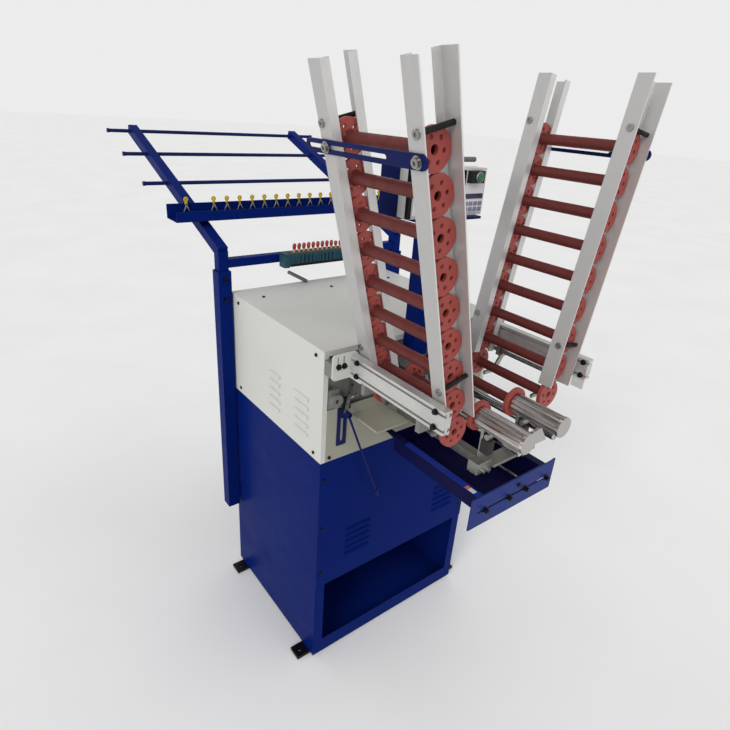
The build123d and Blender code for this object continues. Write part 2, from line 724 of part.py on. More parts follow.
def traverse_carriage(side):
    """Carriage on a guide bar with its yarn guide arm and its push rod."""
    station = side * STATION_X
    x = station + BAR_OFFSET
    y0, y1 = CARRIAGE_Y - CARRIAGE_LEN / 2, CARRIAGE_Y + CARRIAGE_LEN / 2
    block = box(x - 16, x + 16, y0, y1, BAR_Z - 16, BAR_Z + 16)
    rod_at = station + PUSH_OFFSET
    ear = box(x + 16, rod_at + 8, y0, y1, BAR_Z - 8, BAR_Z + 8)
    eye_x, eye_z = station + 21, STATION_Z + 6
    arm = prism_y([(x + 11, BAR_Z + 16), (x - 3, BAR_Z + 16), (eye_x - 4, eye_z - 2),
                   (eye_x + 4, eye_z + 2)], CARRIAGE_Y - 3, CARRIAGE_Y + 3)
    eye = rod_y(eye_x, eye_z, CARRIAGE_Y - 3, CARRIAGE_Y + 3, 5)
    push = rod_y(rod_at, BAR_Z, y1 - 1, -38, PUSH_ROD_R)
    body = block + ear + arm + eye + push
    body = body - rod_y(eye_x, eye_z, CARRIAGE_Y - 4, CARRIAGE_Y + 4, 2)
    return body - rod_y(x, BAR_Z, y0 - 1, y1 + 1, BAR_R + RUNNING_FIT)


# -------------------------------------------------------------------- tray
def collecting_tray():
    """Open sheet tray with outward flanges."""
    low = TRAY_TOP_Z - TRAY_DEPTH
    outer = box(-TRAY_HALF_W - SHEET, TRAY_HALF_W + SHEET, TRAY_FRONT, TRAY_BACK, low, TRAY_TOP_Z)
    inner = box(-TRAY_HALF_W, TRAY_HALF_W, TRAY_FRONT + SHEET, TRAY_BACK - SHEET,
                low + SHEET, TRAY_TOP_Z + 1)
    tray = outer - inner
    for side in (-1, 1):
        flange = box(side * TRAY_HALF_W, side * (TRAY_HALF_W + TRAY_FLANGE),
                     TRAY_FRONT, TRAY_BACK, TRAY_TOP_Z - SHEET, TRAY_TOP_Z)
        tray = tray + flange
    return tray


def tray_brackets():
    """Two flat arms that carry the tray from the front plate."""
    pieces = []
    for side in (-1, 1):
        arm = box(side * 107, side * 125, FRONT - 114, FRONT, TRAY_TOP_Z, TRAY_TOP_Z + 3)
        pieces.append(arm)
    return group(pieces)


PLATE_LOW_Z = 716.0
PLATE_HIGH_Z = 801.0
SLOT_Z = 757.0


def tray_front_plate():
    """Slotted front plate of the tray with one raised corner."""
    y0 = TRAY_FRONT - 4
    outline = [(-143, PLATE_LOW_Z), (161, PLATE_LOW_Z), (161, PLATE_HIGH_Z + 3),
               (140, PLATE_HIGH_Z), (-143, PLATE_HIGH_Z)]
    plate = prism_y(outline, y0, TRAY_FRONT)
    slot = box(-120, 147, y0 - 1, TRAY_FRONT + 1, SLOT_Z - 3.2, SLOT_Z + 3.2)
    return plate - slot


def tray_studs():
    """Four clamp screws in the slot of the front plate."""
    pieces = []
    y0 = TRAY_FRONT - 4
    for x in (-95, -12, 51, 133):
        washer = rod_y(x, SLOT_Z, y0 - 2, y0, 8)
        knob = rod_y(x, SLOT_Z, y0 - 12, y0 - 2, 5.5)
        pieces.append(washer + knob)
    pieces.append(rod_y(21, 780, y0 - 5, y0, 5))
    return group(pieces)


def tray_tie_rod():
    """Thin rod that ties the front plate to the cabinet."""
    return rod_y(25, TRAY_TOP_Z - 7, TRAY_FRONT + SHEET, TRAY_BACK - SHEET, 3)


# ------------------------------------------------------------------- creel
def square_tube(x, y, size, wall, z0, z1):
    """Upright square tube."""
    half = size / 2
    outer = box(x - half, x + half, y - half, y + half, z0, z1)
    core = half - wall
    return outer - box(x - core, x + core, y - core, y + core, z0 - 1, z1 + 1)


def creel_post(side):
    """Fixed outer tube of one creel post."""
    return square_tube(side * POST_X, POST_Y, POST_SIZE, TUBE_WALL, POST_LOW_Z, POST_HIGH_Z)


def post_brackets():
    """Spacer plates between the posts and the cabinet sides."""
    pieces = []
    for side in (-1, 1):
        for z in (330, 560, 690):
            edge = POST_X - POST_SIZE / 2
            pieces.append(box(side * HALF_W, side * edge, HALF_D - 20, HALF_D - 2, z - 20, z + 20))
    return group(pieces)


def post_screws():
    """Clamp screws that hold the creel at its height."""
    pieces = []
    for side in (-1, 1):
        for z in (POST_HIGH_Z - 24, POST_HIGH_Z - 84):
            spot = Pos(side * POST_X, POST_Y - POST_SIZE / 2, z) * Rot(90, 0, 0)
            pieces.append(spot * socket_head(6, 7))
    return group(pieces)


def arm_z(y):
    """Height of the arm's centre line at y."""
    return BEND_Z + (y - POST_Y) * math.tan(math.radians(ARM_SLOPE))


def creel_arm(side):
    """Inner tube of one post with its bent arm."""
    x = side * POST_X
    half = INNER_SIZE / 2
    core = half - TUBE_WALL
    length = (ARM_END_Y - POST_Y) / math.cos(math.radians(ARM_SLOPE))
    place = Pos(x, POST_Y, BEND_Z) * Rot(ARM_SLOPE, 0, 0)
    post = box(x - half, x + half, POST_Y - half, POST_Y + half, 900, BEND_Z)
    arm = place * box(-half, half, -half * 0.7, length, -half, half)
    post_core = box(x - core, x + core, POST_Y - core, POST_Y + core, 899, BEND_Z)
    arm_core = place * box(-core, core, -half * 0.2, length + 1, -core, core)
    body = post + arm - post_core - arm_core
    for y in CREEL_BAR_YS:
        body = body - rod_x(y, arm_z(y), x - 20, x + 20, CREEL_BAR_R + 0.2)
    return body


def creel_bars():
    """Three cross bars of the creel."""
    return group([rod_x(y, arm_z(y), -BAR_HALF_LEN, BAR_HALF_LEN, CREEL_BAR_R)
                  for y in CREEL_BAR_YS])


def bar_caps():
    """End caps of the creel bars."""
    pieces = []
    for y in CREEL_BAR_YS:
        for side in (-1, 1):
            pieces.append(rod_x(y, arm_z(y), side * BAR_HALF_LEN, side * (BAR_HALF_LEN + 8),
                                CREEL_BAR_R + 1))
    return group(pieces)


CHANNEL_Y = 406.0
CHANNEL_LOW_Z = 1244.0
CHANNEL_LIP_Z = 1273.0
CHANNEL_HIGH_Z = 1284.0
CHANNEL_D = 78.0


def guide_channel():
    """Blue trough that carries the thread eyelets on its back wall."""
    x0, x1 = -BAR_HALF_LEN - 10, BAR_HALF_LEN + 10
    front = CHANNEL_Y + SHEET - CHANNEL_D
    wall = box(x0, x1, CHANNEL_Y, CHANNEL_Y + SHEET, CHANNEL_LOW_Z, CHANNEL_HIGH_Z)
    floor = box(x0, x1, front, CHANNEL_Y + SHEET, CHANNEL_LOW_Z, CHANNEL_LOW_Z + SHEET)
    lip = box(x0, x1, front, front + SHEET, CHANNEL_LOW_Z, CHANNEL_LIP_Z)
    channel = wall + floor + lip
    half = INNER_SIZE / 2 + 0.5
    for side in (-1, 1):
        place = Pos(side * POST_X, POST_Y, BEND_Z) * Rot(ARM_SLOPE, 0, 0)
        channel = channel - place * box(-half, half, -20, 300, -half, half)
    return channel


EYELET_PITCH = 42.5
EYELET_COUNT = 18


def thread_eyelets():
    """Row of eyelets on the guide channel, none over the arms."""
    pieces = []
    first = -EYELET_PITCH * (EYELET_COUNT - 1) / 2
    for index in range(EYELET_COUNT):
        if index in (1, EYELET_COUNT - 2):
            continue
        x = first + index * EYELET_PITCH
        stem = rod_z(x, CHANNEL_Y - 3.5, CHANNEL_HIGH_Z - 26, CHANNEL_HIGH_Z + 6, 3)
        ring = Pos(x, CHANNEL_Y - 3.5, CHANNEL_HIGH_Z + 11) * Rot(90, 0, 0) * Torus(5.5, 2)
        pieces.append(stem + ring)
    return group(pieces)


def crossbar():
    """Square tube between the two inner tubes."""
    half = CROSSBAR_SIZE / 2
    reach = POST_X - INNER_SIZE / 2
    outer = box(-reach, reach, POST_Y - half, POST_Y + half, CROSSBAR_Z - half, CROSSBAR_Z + half)
    core = half - TUBE_WALL
    return outer - box(-reach - 1, reach + 1, POST_Y - core, POST_Y + core,
                       CROSSBAR_Z - core, CROSSBAR_Z + core)


TENSION_X0 = -138.0
TENSION_X1 = 132.0
TENSION_Y0 = 206.0
TENSION_Z0 = 1118.0
TENSION_Z1 = 1156.0
TENSION_COUNT = 14


def tensioner_body():
    """Ribbed teal body of the yarn tensioner."""
    back = POST_Y - CROSSBAR_SIZE / 2
    body = box(TENSION_X0, TENSION_X1, TENSION_Y0, back, TENSION_Z0, TENSION_Z1)
    end = box(TENSION_X0 - 8, TENSION_X0 + 14, TENSION_Y0 - 4, back, TENSION_Z0 - 2, TENSION_Z1 - 6)
    body = body + fillet(end.edges().filter_by(Axis.Z), 7)
    for index in range(16):
        x = TENSION_X0 + 32 + index * 15
        body = body - box(x, x + 6, TENSION_Y0 - 1, TENSION_Y0 + 4, TENSION_Z0 + 8, TENSION_Z1 - 6)
    return body


PEG_TOP_Z = TENSION_Z1 + 15.0


def tension_spots():
    """Places of the tension pegs: a full front row and a shorter back row."""
    front = [(TENSION_X0 + 34 + index * 17, 218.0) for index in range(TENSION_COUNT)]
    back = [(TENSION_X0 + 42.5 + index * 17, 230.0) for index in range(TENSION_COUNT - 5)]
    return front + back


def tension_pegs():
    """Pegs with springs on top of the tensioner."""
    return group([rod_z(x, y, TENSION_Z1, PEG_TOP_Z, 3) for x, y in tension_spots()])


def tension_knobs():
    """Knobs on the tension pegs."""
    return group([rod_z(x, y, PEG_TOP_Z, PEG_TOP_Z + 11, 5.5) for x, y in tension_spots()])


# ------------------------------------------------------------ control head
def control_column():
    """Blue square column that carries the control head."""
    y = FRONT - COLUMN_D / 2
    half_w, half_d = COLUMN_W / 2, COLUMN_D / 2
    outer = box(COLUMN_X - half_w, COLUMN_X + half_w, y - half_d, y + half_d,
                COLUMN_LOW_Z, COLUMN_HIGH_Z)
    core = box(COLUMN_X - half_w + TUBE_WALL, COLUMN_X + half_w - TUBE_WALL,
               y - half_d + TUBE_WALL, y + half_d - TUBE_WALL, COLUMN_LOW_Z - 1, COLUMN_HIGH_Z - 4)
    return outer - core


HEAD_FRONT = FRONT - 20.0
HEAD_BACK = FRONT + 20.0
HEAD_X0 = -98.0
HEAD_X1 = 148.0
HEAD_Z0 = 1346.0
HEAD_Z1 = 1457.0


def head_bracket():
    """Shelf on the column with the upright plate behind the control box."""
    shelf = box(COLUMN_X - 50, HEAD_X1 - 20, FRONT - COLUMN_D, HEAD_BACK, COLUMN_HIGH_Z, HEAD_Z0)
    plate = box(-152, 40, HEAD_BACK, HEAD_BACK + 3, COLUMN_HIGH_Z, 1472)
    return shelf + plate


def control_box():
    """White sheet box of the control head."""
    outer = box(HEAD_X0, HEAD_X1, HEAD_FRONT, HEAD_BACK, HEAD_Z0, HEAD_Z1)
    inner = box(HEAD_X0 + SHEET, HEAD_X1 - SHEET, HEAD_FRONT + SHEET, HEAD_BACK - SHEET,
                HEAD_Z0 + SHEET, HEAD_Z1 - SHEET)
    return outer - inner


SWITCH_X0 = 80.0
SWITCH_X1 = 126.0
SWITCH_Z0 = 1424.0
SWITCH_Z1 = 1452.0
SWITCH_Y = HEAD_FRONT - 16.0
BUTTON_X = 108.0
BUTTON_Z = 1438.0


def switch_housing():
    """Dark switch housing on the front of the control box."""
    body = box(SWITCH_X0, SWITCH_X1, SWITCH_Y, HEAD_FRONT, SWITCH_Z0, SWITCH_Z1)
    return body - rod_y(BUTTON_X, BUTTON_Z, SWITCH_Y - 1, SWITCH_Y + 12, 9.4)


def start_button():
    """Green push button."""
    cap = rod_y(BUTTON_X, BUTTON_Z, SWITCH_Y - 6, SWITCH_Y + 6, 9)
    return cap


def conduit_elbow():
    """Short rigid conduit on top of the control box."""
    rise = rod_z(60, FRONT, HEAD_Z1, HEAD_Z1 + 18, 6)
    run = rod_x(FRONT, HEAD_Z1 + 18, 60, 120, 6)
    knee = Pos(60, FRONT, HEAD_Z1 + 18) * Sphere(6)
    return rise + run + knee


def rear_conduit():
    """Short conduit that leaves the cover over its back edge."""
    return rod_y(-48, COVER_TOP_Z + 6, HALF_D - 18, HALF_D + 91, 6)


def cabinet_screws():
    """Screw heads on panels, cover and front plate."""
    pieces = []
    face = Rot(90, 0, 0)
    for x in (-284, 284):
        for z in (348, 512, 676):
            pieces.append(Pos(x, FRONT, z) * face * socket_head(4.5, 3))
    for x in (-274, 274):
        pieces.append(Pos(x, FRONT, 746) * face * socket_head(4.5, 3))
    for side in (-1, 1):
        for y, z in ((-220, 1030), (200, 1030), (-220, 752), (200, 752)):
            turn = Rot(0, 90 * side, 0)
            pieces.append(Pos(side * HALF_W, y, z) * turn * socket_head(4.5, 3))
    for x in (-237, 3, 237):
        pieces.append(Pos(x, 165, COVER_TOP_Z) * socket_head(4.5, 3))
    return group(pieces)


# ---------------------------------------------------------------- all nodes
save("lower_cabinet", lower_cabinet())
save("front_panel", front_panel())
save("upper_cover", upper_cover())
save("cover_front_plate", cover_front_plate())
save("foot_brackets", foot_brackets())
save("machine_deck", machine_deck())
save("spindle_frame_plate", spindle_frame_plate())
save("spacer_blocks", group([spacer_blocks(), rail_wedges()]))
save("headstocks", group([headstock(-1), headstock(1)]))
save("drive_motor", drive_motor())
save("motor_rotor", motor_rotor())
save("drive_belt", drive_belt())
save("fasteners", group([cabinet_screws(), rail_bolts(), tray_studs(), post_screws()]))
save("magazine_screws", group([magazine_screws(-LEFT_LEAN), magazine_screws(RIGHT_LEAN)]))
save("rails", group([rail(LEFT_RAIL_OUTER), rail(RIGHT_RAIL_OUTER)]))
save("rail_brackets", group([rail_bracket(LEFT_RAIL_OUTER), rail_bracket(RIGHT_RAIL_OUTER)]))
save("tie_bars", group([tie_bar(-LEFT_LEAN), tie_bar(RIGHT_LEAN)]))
save("retaining_rods", group([retaining_rods(-LEFT_LEAN), retaining_rods(RIGHT_LEAN)]))
for label, hand, lean in (("left", -1, -LEFT_LEAN), ("right", 1, RIGHT_LEAN)):
    save(label + "_magazine_guides", magazine_guides(lean))
    save(label + "_spindle", spindle(hand))
    save(label + "_wound_bobbin", wound_bobbin(hand))
    save(label + "_bobbin_stack", stacked_bobbins(lean, 0, STACK_COUNT - 1))
    save(label + "_top_bobbin", stacked_bobbins(lean, STACK_COUNT - 1, STACK_COUNT))
    save(label + "_release_shaft", release_shaft(hand))
    save(label + "_tail_centre", tail_centre(hand))
    save(label + "_traverse_carriage", traverse_carriage(hand))
save("release_bearings", group([release_bearings(), pivot_casting()]))
save("release_lever", release_lever())
save("lever_bracket", slotted_bracket())
save("deck_brackets", deck_brackets())
save("tail_beams", tail_beams())
save("tail_pedestals", tail_pedestals())
save("tail_clamps", tail_clamps())
save("tail_cylinders", group([tail_cylinder(-1), tail_cylinder(1)]))
save("guide_bars", guide_bars())
save("collecting_tray", group([collecting_tray(), tray_brackets()]))
save("tray_front_plate", tray_front_plate())
save("tray_tie_rod", tray_tie_rod())
save("creel_posts", group([creel_post(-1), creel_post(1), post_brackets()]))
save("creel_arms", group([creel_arm(-1), creel_arm(1)]))
save("creel_bars", group([creel_bars(), bar_caps()]))
save("guide_channel", guide_channel())
save("thread_eyelets", thread_eyelets())
save("crossbar", crossbar())
save("tensioner_body", tensioner_body())
save("tension_knobs", group([tension_pegs(), tension_knobs()]))
save("control_column", control_column())
save("head_bracket", head_bracket())
save("control_box", control_box())
save("switch_housing", switch_housing())
save("start_button", start_button())
save("conduits", group([conduit_elbow(), rear_conduit()]))
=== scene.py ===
import json
import math

import bmesh
import bpy
from mathutils import Matrix, Vector


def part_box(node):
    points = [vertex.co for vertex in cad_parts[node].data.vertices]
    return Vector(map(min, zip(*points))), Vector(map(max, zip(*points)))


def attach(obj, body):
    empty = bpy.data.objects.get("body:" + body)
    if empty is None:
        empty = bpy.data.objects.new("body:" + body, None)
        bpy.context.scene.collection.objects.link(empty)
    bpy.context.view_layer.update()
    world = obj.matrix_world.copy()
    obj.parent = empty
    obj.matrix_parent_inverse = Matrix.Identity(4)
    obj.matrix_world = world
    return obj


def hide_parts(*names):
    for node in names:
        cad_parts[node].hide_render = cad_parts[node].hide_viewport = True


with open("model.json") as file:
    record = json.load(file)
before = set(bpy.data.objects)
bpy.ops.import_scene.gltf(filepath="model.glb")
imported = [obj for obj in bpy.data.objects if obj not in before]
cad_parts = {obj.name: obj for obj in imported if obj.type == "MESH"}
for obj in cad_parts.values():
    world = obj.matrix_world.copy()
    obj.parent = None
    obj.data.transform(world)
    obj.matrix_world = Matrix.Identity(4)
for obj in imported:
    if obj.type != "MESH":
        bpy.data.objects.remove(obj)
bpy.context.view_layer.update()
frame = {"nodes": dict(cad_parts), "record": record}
NODES = frame["nodes"]
TAU = 2 * math.pi

# ------------------------------------------------------------------ sizes (metres)
FRONT = -0.254
PITCH = 0.073
BOBBIN_LEN = 0.238
FLANGE_R = 0.0363
FLANGE_T = 0.010
BARREL_R = 0.0125
BORE_R = 0.008
HOLE_COUNT = 6
HOLE_R = 0.0039
HOLE_CIRCLE_R = 0.0215
MAGAZINE_COUNT = 9
STATION_X = 0.063
STATION_Z = 0.9535
STATION_FRONT = FRONT - 0.290
MAG_FRONT = FRONT - 0.309
MAGAZINES = {"left": (-0.167, 0.955, -15.0), "right": (0.167, 0.955, 9.4)}
EYELET_COUNT = 18
EYELET_PITCH = 0.0425
EYELETS_LEFT_OUT = (1, 16)
KNOB_PITCH = 0.017
KNOB_ROWS = ((0.042, 0.218, 14), (0.0505, 0.230, 9))
TRAY_SKIN_BACK = -0.372

# Camera: place in metres, angles in degrees, lens and sensor in millimetres.
CAMERA_PLACE = (-0.962, -1.2242, 1.5705)
CAMERA_AZIMUTH = 39.0
CAMERA_ELEVATION = 24.99
CAMERA_ROLL = 4.16
CAMERA_LENS = 27.11
CAMERA_SENSOR = 36.0


# ------------------------------------------------------------------ node helpers
def new_material(name):
    """Material with an empty tree, its shader and its output."""
    mat = bpy.data.materials.new(name)
    mat.use_nodes = True
    tree = mat.node_tree
    tree.nodes.clear()
    out = tree.nodes.new("ShaderNodeOutputMaterial")
    shader = tree.nodes.new("ShaderNodeBsdfPrincipled")
    tree.links.new(shader.outputs["BSDF"], out.inputs["Surface"])
    return mat, tree, shader


def coords(tree, scale=(1, 1, 1)):
    """Object coordinates, scaled."""
    tex = tree.nodes.new("ShaderNodeTexCoord")
    mapping = tree.nodes.new("ShaderNodeMapping")
    mapping.inputs["Scale"].default_value = scale
    tree.links.new(tex.outputs["Object"], mapping.inputs["Vector"])
    return mapping.outputs["Vector"]


def noise(tree, vector, scale, detail=3.0, rough=0.5):
    """Noise value."""
    node = tree.nodes.new("ShaderNodeTexNoise")
    node.inputs["Scale"].default_value = scale
    node.inputs["Detail"].default_value = detail
    node.inputs["Roughness"].default_value = rough
    tree.links.new(vector, node.inputs["Vector"])
    return node.outputs["Fac"]


def ramp(tree, value, low, high, at=(0.35, 0.65)):
    """Colour ramp between two colours or greys."""
    node = tree.nodes.new("ShaderNodeValToRGB")
    ends = node.color_ramp.elements
    ends[0].position, ends[1].position = at
    ends[0].color = tuple(low) + (1,) if hasattr(low, "__len__") else (low, low, low, 1)
    ends[1].color = tuple(high) + (1,) if hasattr(high, "__len__") else (high, high, high, 1)
    tree.links.new(value, node.inputs["Fac"])
    return node.outputs["Color"]


def mix(tree, fac, a, b, kind="MIX"):
    """Mix two colours by a factor."""
    node = tree.nodes.new("ShaderNodeMix")
    node.data_type = "RGBA"
    node.blend_type = kind
    for socket, value in ((node.inputs["Factor"], fac), (node.inputs["A"], a), (node.inputs["B"], b)):
        if isinstance(value, bpy.types.NodeSocket):
            tree.links.new(value, socket)
        elif hasattr(value, "__len__"):
            socket.default_value = tuple(value) + (1,)
        else:
            socket.default_value = value
    return node.outputs["Result"]


def bump(tree, shader, height, strength, distance, edge=0.0):
    """Bump from a height, over edges rounded by a bevel node."""
    node = tree.nodes.new("ShaderNodeBump")
    node.inputs["Strength"].default_value = strength
    node.inputs["Distance"].default_value = distance
    tree.links.new(height, node.inputs["Height"])
    if edge:
        round_edge = tree.nodes.new("ShaderNodeBevel")
        round_edge.samples = 4
        round_edge.inputs["Radius"].default_value = edge
        tree.links.new(round_edge.outputs["Normal"], node.inputs["Normal"])
    tree.links.new(node.outputs["Normal"], shader.inputs["Normal"])


def dust(tree, colour, amount, tint=(0.35, 0.34, 0.31)):
    """Dust that lies on surfaces that face up, in patches."""
    geo = tree.nodes.new("ShaderNodeNewGeometry")
    split = tree.nodes.new("ShaderNodeSeparateXYZ")
    tree.links.new(geo.outputs["Normal"], split.inputs["Vector"])
    patches = noise(tree, coords(tree), 9.0, 6.0, 0.6)
    spots = ramp(tree, patches, 0.0, amount, (0.45, 0.75))
    upward = ramp(tree, split.outputs["Z"], 0.15, 1.0, (0.2, 0.9))
    cover = mix(tree, 1.0, spots, upward, "MULTIPLY")
    return mix(tree, cover, colour, tint)


def set_colour(tree, shader, colour):
    """Link the base colour."""
    tree.links.new(colour, shader.inputs["Base Color"])


def set_roughness(tree, shader, pattern, low, high):
    """Roughness that follows a pattern between two values."""
    tree.links.new(ramp(tree, pattern, low, min(1.0, high)), shader.inputs["Roughness"])


def scaled(colour, factor):
    """Colour times a factor."""
    return [channel * factor for channel in colour]


def paint(name, colour, rough=0.3, dark=0.93, coat=0.1, speck=0.0, grime=0.06, edge=0.0007,
          shine=0.06):
    """Sprayed paint on sheet metal: orange peel, faint mottling, smudges and light dust."""
    mat, tree, shader = new_material(name)
    vector = coords(tree)
    cloudy = noise(tree, vector, 3.0, 5.0, 0.6)
    base = ramp(tree, cloudy, scaled(colour, dark), colour, (0.3, 0.62))
    scuffs = noise(tree, coords(tree, (1, 1, 5)), 46.0, 8.0, 0.7)
    worn = ramp(tree, scuffs, 0.0, 1.0, (0.68, 0.78))
    pale = [min(1.0, c * 1.2 + 0.012) for c in colour]
    base = mix(tree, mix(tree, 0.10 + speck, (0, 0, 0), worn), base, pale)
    set_colour(tree, shader, dust(tree, base, grime))
    smear = noise(tree, coords(tree, (1, 1, 2.4)), 9.0, 6.0, 0.65)
    set_roughness(tree, shader, smear, rough * 0.85, rough * 1.3)
    shader.inputs["Specular IOR Level"].default_value = shine
    shader.inputs["Coat Weight"].default_value = coat
    shader.inputs["Coat Roughness"].default_value = 0.15
    peel = noise(tree, vector, 420.0, 2.0, 0.5)
    bump(tree, shader, peel, 0.08, 0.0003, edge)
    return mat


def facing(tree, axis, low, high, at):
    """Value that follows how far the surface faces along one object axis (from -1 to 1)."""
    tex = tree.nodes.new("ShaderNodeTexCoord")
    split = tree.nodes.new("ShaderNodeSeparateXYZ")
    tree.links.new(tex.outputs["Normal"], split.inputs["Vector"])
    share = tree.nodes.new("ShaderNodeMath")
    share.operation = "MULTIPLY_ADD"
    share.inputs[1].default_value = 0.5
    share.inputs[2].default_value = 0.5
    tree.links.new(split.outputs[axis], share.inputs[0])
    return ramp(tree, share.outputs[0], low, high, at)


def metal(name, colour, rough=0.3, stretch=(1, 1, 1), scale=220.0, tone=0.8, strength=0.12,
          edge=0.0004, metallic=1.0, at=(0.3, 0.6), plain_front=False, left_face_painted_shade=1.0):
    """Metal with machining marks that run along one axis, and patchy tone; faces that face -X can be
    darkened as painted shade.
    """
    mat, tree, shader = new_material(name)
    marks = noise(tree, coords(tree, stretch), scale, 6.0, 0.65)
    if plain_front:
        frontward = facing(tree, "Y", 1.0, 0.0, (0.04, 0.12))
        marks = mix(tree, frontward, marks, (0.48, 0.48, 0.48))
    cloudy = noise(tree, coords(tree), 14.0, 5.0, 0.6)
    base = ramp(tree, marks, scaled(colour, tone), colour, at)
    patches = ramp(tree, cloudy, 0.0, 0.35, (0.45, 0.75))
    base = mix(tree, patches, base, scaled(colour, 0.62))
    # Painted shade: faces turned towards -X get a darker copy of the colour, standing in for the
    # darker reflection on their left sides.
    if left_face_painted_shade < 1.0:
        painted_left_shade = facing(tree, "X", 1.0, 0.0, (0.05, 0.35))
        base = mix(tree, painted_left_shade, base, scaled(colour, left_face_painted_shade))
    set_colour(tree, shader, base)
    shader.inputs["Metallic"].default_value = metallic
    set_roughness(tree, shader, marks, rough * 0.7, rough * 1.5)
    bump(tree, shader, marks, strength, 0.0003, edge)
    return mat


def plastic(name, colour, rough=0.4, dark=0.75, grain=900.0, edge=0.0005, coat=0.0, dusty=0.1):
    """Moulded plastic: fine grain, flow mottling and dust."""
    mat, tree, shader = new_material(name)
    flow = noise(tree, coords(tree, (1, 0.4, 1)), 26.0, 5.0, 0.6)
    base = ramp(tree, flow, scaled(colour, dark), colour, (0.32, 0.66))
    set_colour(tree, shader, dust(tree, base, dusty, (0.45, 0.40, 0.38)))
    rub = noise(tree, coords(tree), 60.0, 4.0, 0.6)
    set_roughness(tree, shader, rub, rough * 0.8, rough * 1.35)
    shader.inputs["Coat Weight"].default_value = coat
    shader.inputs["Specular IOR Level"].default_value = 0.35
    bump(tree, shader, noise(tree, coords(tree), grain, 2.0), 0.12, 0.0003, edge)
    return mat


MAT = {
    "royal_blue": paint("royal_blue_paint", (0.0020, 0.0125, 0.128), 0.30, 0.92, coat=0.0,
                        grime=0.008, shine=0.02),
    "navy_blue": paint("navy_blue_paint", (0.0080, 0.0140, 0.090), 0.36, 0.88, coat=0.0, grime=0.03),
    "tray_blue": paint("tray_blue_paint", (0.0200, 0.0360, 0.190), 0.34, 0.9, coat=0.0, grime=0.03),
    "white_paint": paint("cover_white_paint", (0.62, 0.62, 0.59), 0.36, 0.95, coat=0.05),
    "cream_paint": paint("cream_paint", (0.36, 0.35, 0.29), 0.42, 0.86, coat=0.05, speck=0.1),
    # The guides' left-facing faces are darkened to 0.70 of their colour as painted shade.
    "guide_aluminium": metal("guide_aluminium", (0.72, 0.71, 0.70), 0.42, (1, 1, 0.05), 300.0,
                             0.93, 0.06, edge=0.0005, metallic=0.45, left_face_painted_shade=0.70),
    "rail_aluminium": metal("rail_aluminium", (0.62, 0.62, 0.60), 0.36, (1, 0.05, 1), 300.0,
                            0.88, 0.08, metallic=0.6),
    "turned_aluminium": metal("turned_aluminium", (0.82, 0.78, 0.75), 0.26, (1, 0.02, 1), 210.0,
                              0.25, 0.15, edge=0.0003, at=(0.40, 0.58), plain_front=True),
    "bright_steel": metal("bright_steel", (0.66, 0.66, 0.66), 0.2, (1, 0.02, 1), 170.0,
                          0.30, 0.06, at=(0.42, 0.60)),
    "plate_steel": metal("plate_steel", (0.46, 0.46, 0.42), 0.44, (6, 1, 1), 110.0),
    "zinc_steel": metal("zinc_steel", (0.40, 0.40, 0.38), 0.34, scale=60.0, tone=0.6, strength=0.15),
    "grey_casting": metal("grey_casting", (0.30, 0.30, 0.28), 0.55, scale=420.0, tone=0.6,
                          strength=0.5, edge=0.0008, metallic=0.6),
    "motor_grey": paint("motor_grey_paint", (0.045, 0.045, 0.042), 0.45, 0.7),
    "coral_plastic": plastic("coral_plastic", (0.36, 0.062, 0.050), 0.42, 0.82),
    # Painted shade: a darker copy of the coral flange plastic, for the shade on the barrel between the
    # flanges.
    "barrel_painted_shade_plastic": plastic("barrel_painted_shade_plastic", (0.135, 0.019, 0.016), 0.46, 0.7, 700.0, dusty=0.05),
    "black_rubber": plastic("black_rubber", (0.006, 0.006, 0.006), 0.7, 0.6, 1200.0, dusty=0.02),
    "belt_rubber": plastic("belt_rubber", (0.010, 0.010, 0.011), 0.75, 0.6, 500.0),
    "teal_metal": paint("teal_paint", (0.026, 0.078, 0.110), 0.4, 0.8, coat=0.05),
    "red_plastic": plastic("red_plastic", (0.34, 0.014, 0.010), 0.3, 0.8, 500.0, edge=0.0004,
                           coat=0.4, dusty=0.04),
    "yellow_metal": paint("yellow_paint", (0.60, 0.42, 0.02), 0.34, 0.8, coat=0.2),
    "dark_plastic": plastic("dark_plastic", (0.010, 0.010, 0.011), 0.5, 0.7, dusty=0.04),
    "green_plastic": plastic("green_plastic", (0.008, 0.17, 0.055), 0.25, 0.8, 500.0, edge=0.0004,
                             coat=0.6),
    "grey_plastic": plastic("grey_plastic", (0.13, 0.135, 0.14), 0.5, 0.8),
    "black_steel": metal("black_oxide_steel", (0.030, 0.030, 0.032), 0.42, scale=300.0, tone=0.6,
                         strength=0.2),
    # Painted shade: a darker copy of the tray blue, put on the whole collecting tray to stand in for
    # shade.
    "tray_painted_shade": paint("tray_painted_shade_paint", (0.0050, 0.0055, 0.052), 0.45, 0.8, coat=0.0,
                         grime=0.02),
    "flange_blue": paint("flange_blue_paint", (0.0120, 0.0300, 0.260), 0.34, 0.9, coat=0.0),
    "orange": plastic("orange_patch", (0.62, 0.16, 0.04), 0.5, 0.85, 600.0),
    "brown_strip": plastic("brown_fibre_strip", (0.13, 0.085, 0.050), 0.6, 0.6, 300.0),
    "cream_plastic": plastic("cream_plastic", (0.62, 0.50, 0.36), 0.4, 0.8, 500.0),
    "panel_white": paint("panel_white", (0.78, 0.78, 0.80), 0.3, 0.95, coat=0.3),
    "navy_band": plastic("navy_band", (0.020, 0.016, 0.080), 0.3, 0.8, 500.0, edge=0.0004, coat=0.4),
    "grey_lilac": plastic("grey_lilac_keys", (0.26, 0.23, 0.34), 0.45, 0.75, 500.0),
}
for part in frame["record"]["subparts"]:
    node = NODES[part["node"]]
    node.data.materials.clear()
    node.data.materials.append(MAT[part["material_slot"]])
# The collecting tray gets the dark copy of its blue as painted shade.
NODES["collecting_tray"].data.materials[0] = MAT["tray_painted_shade"]


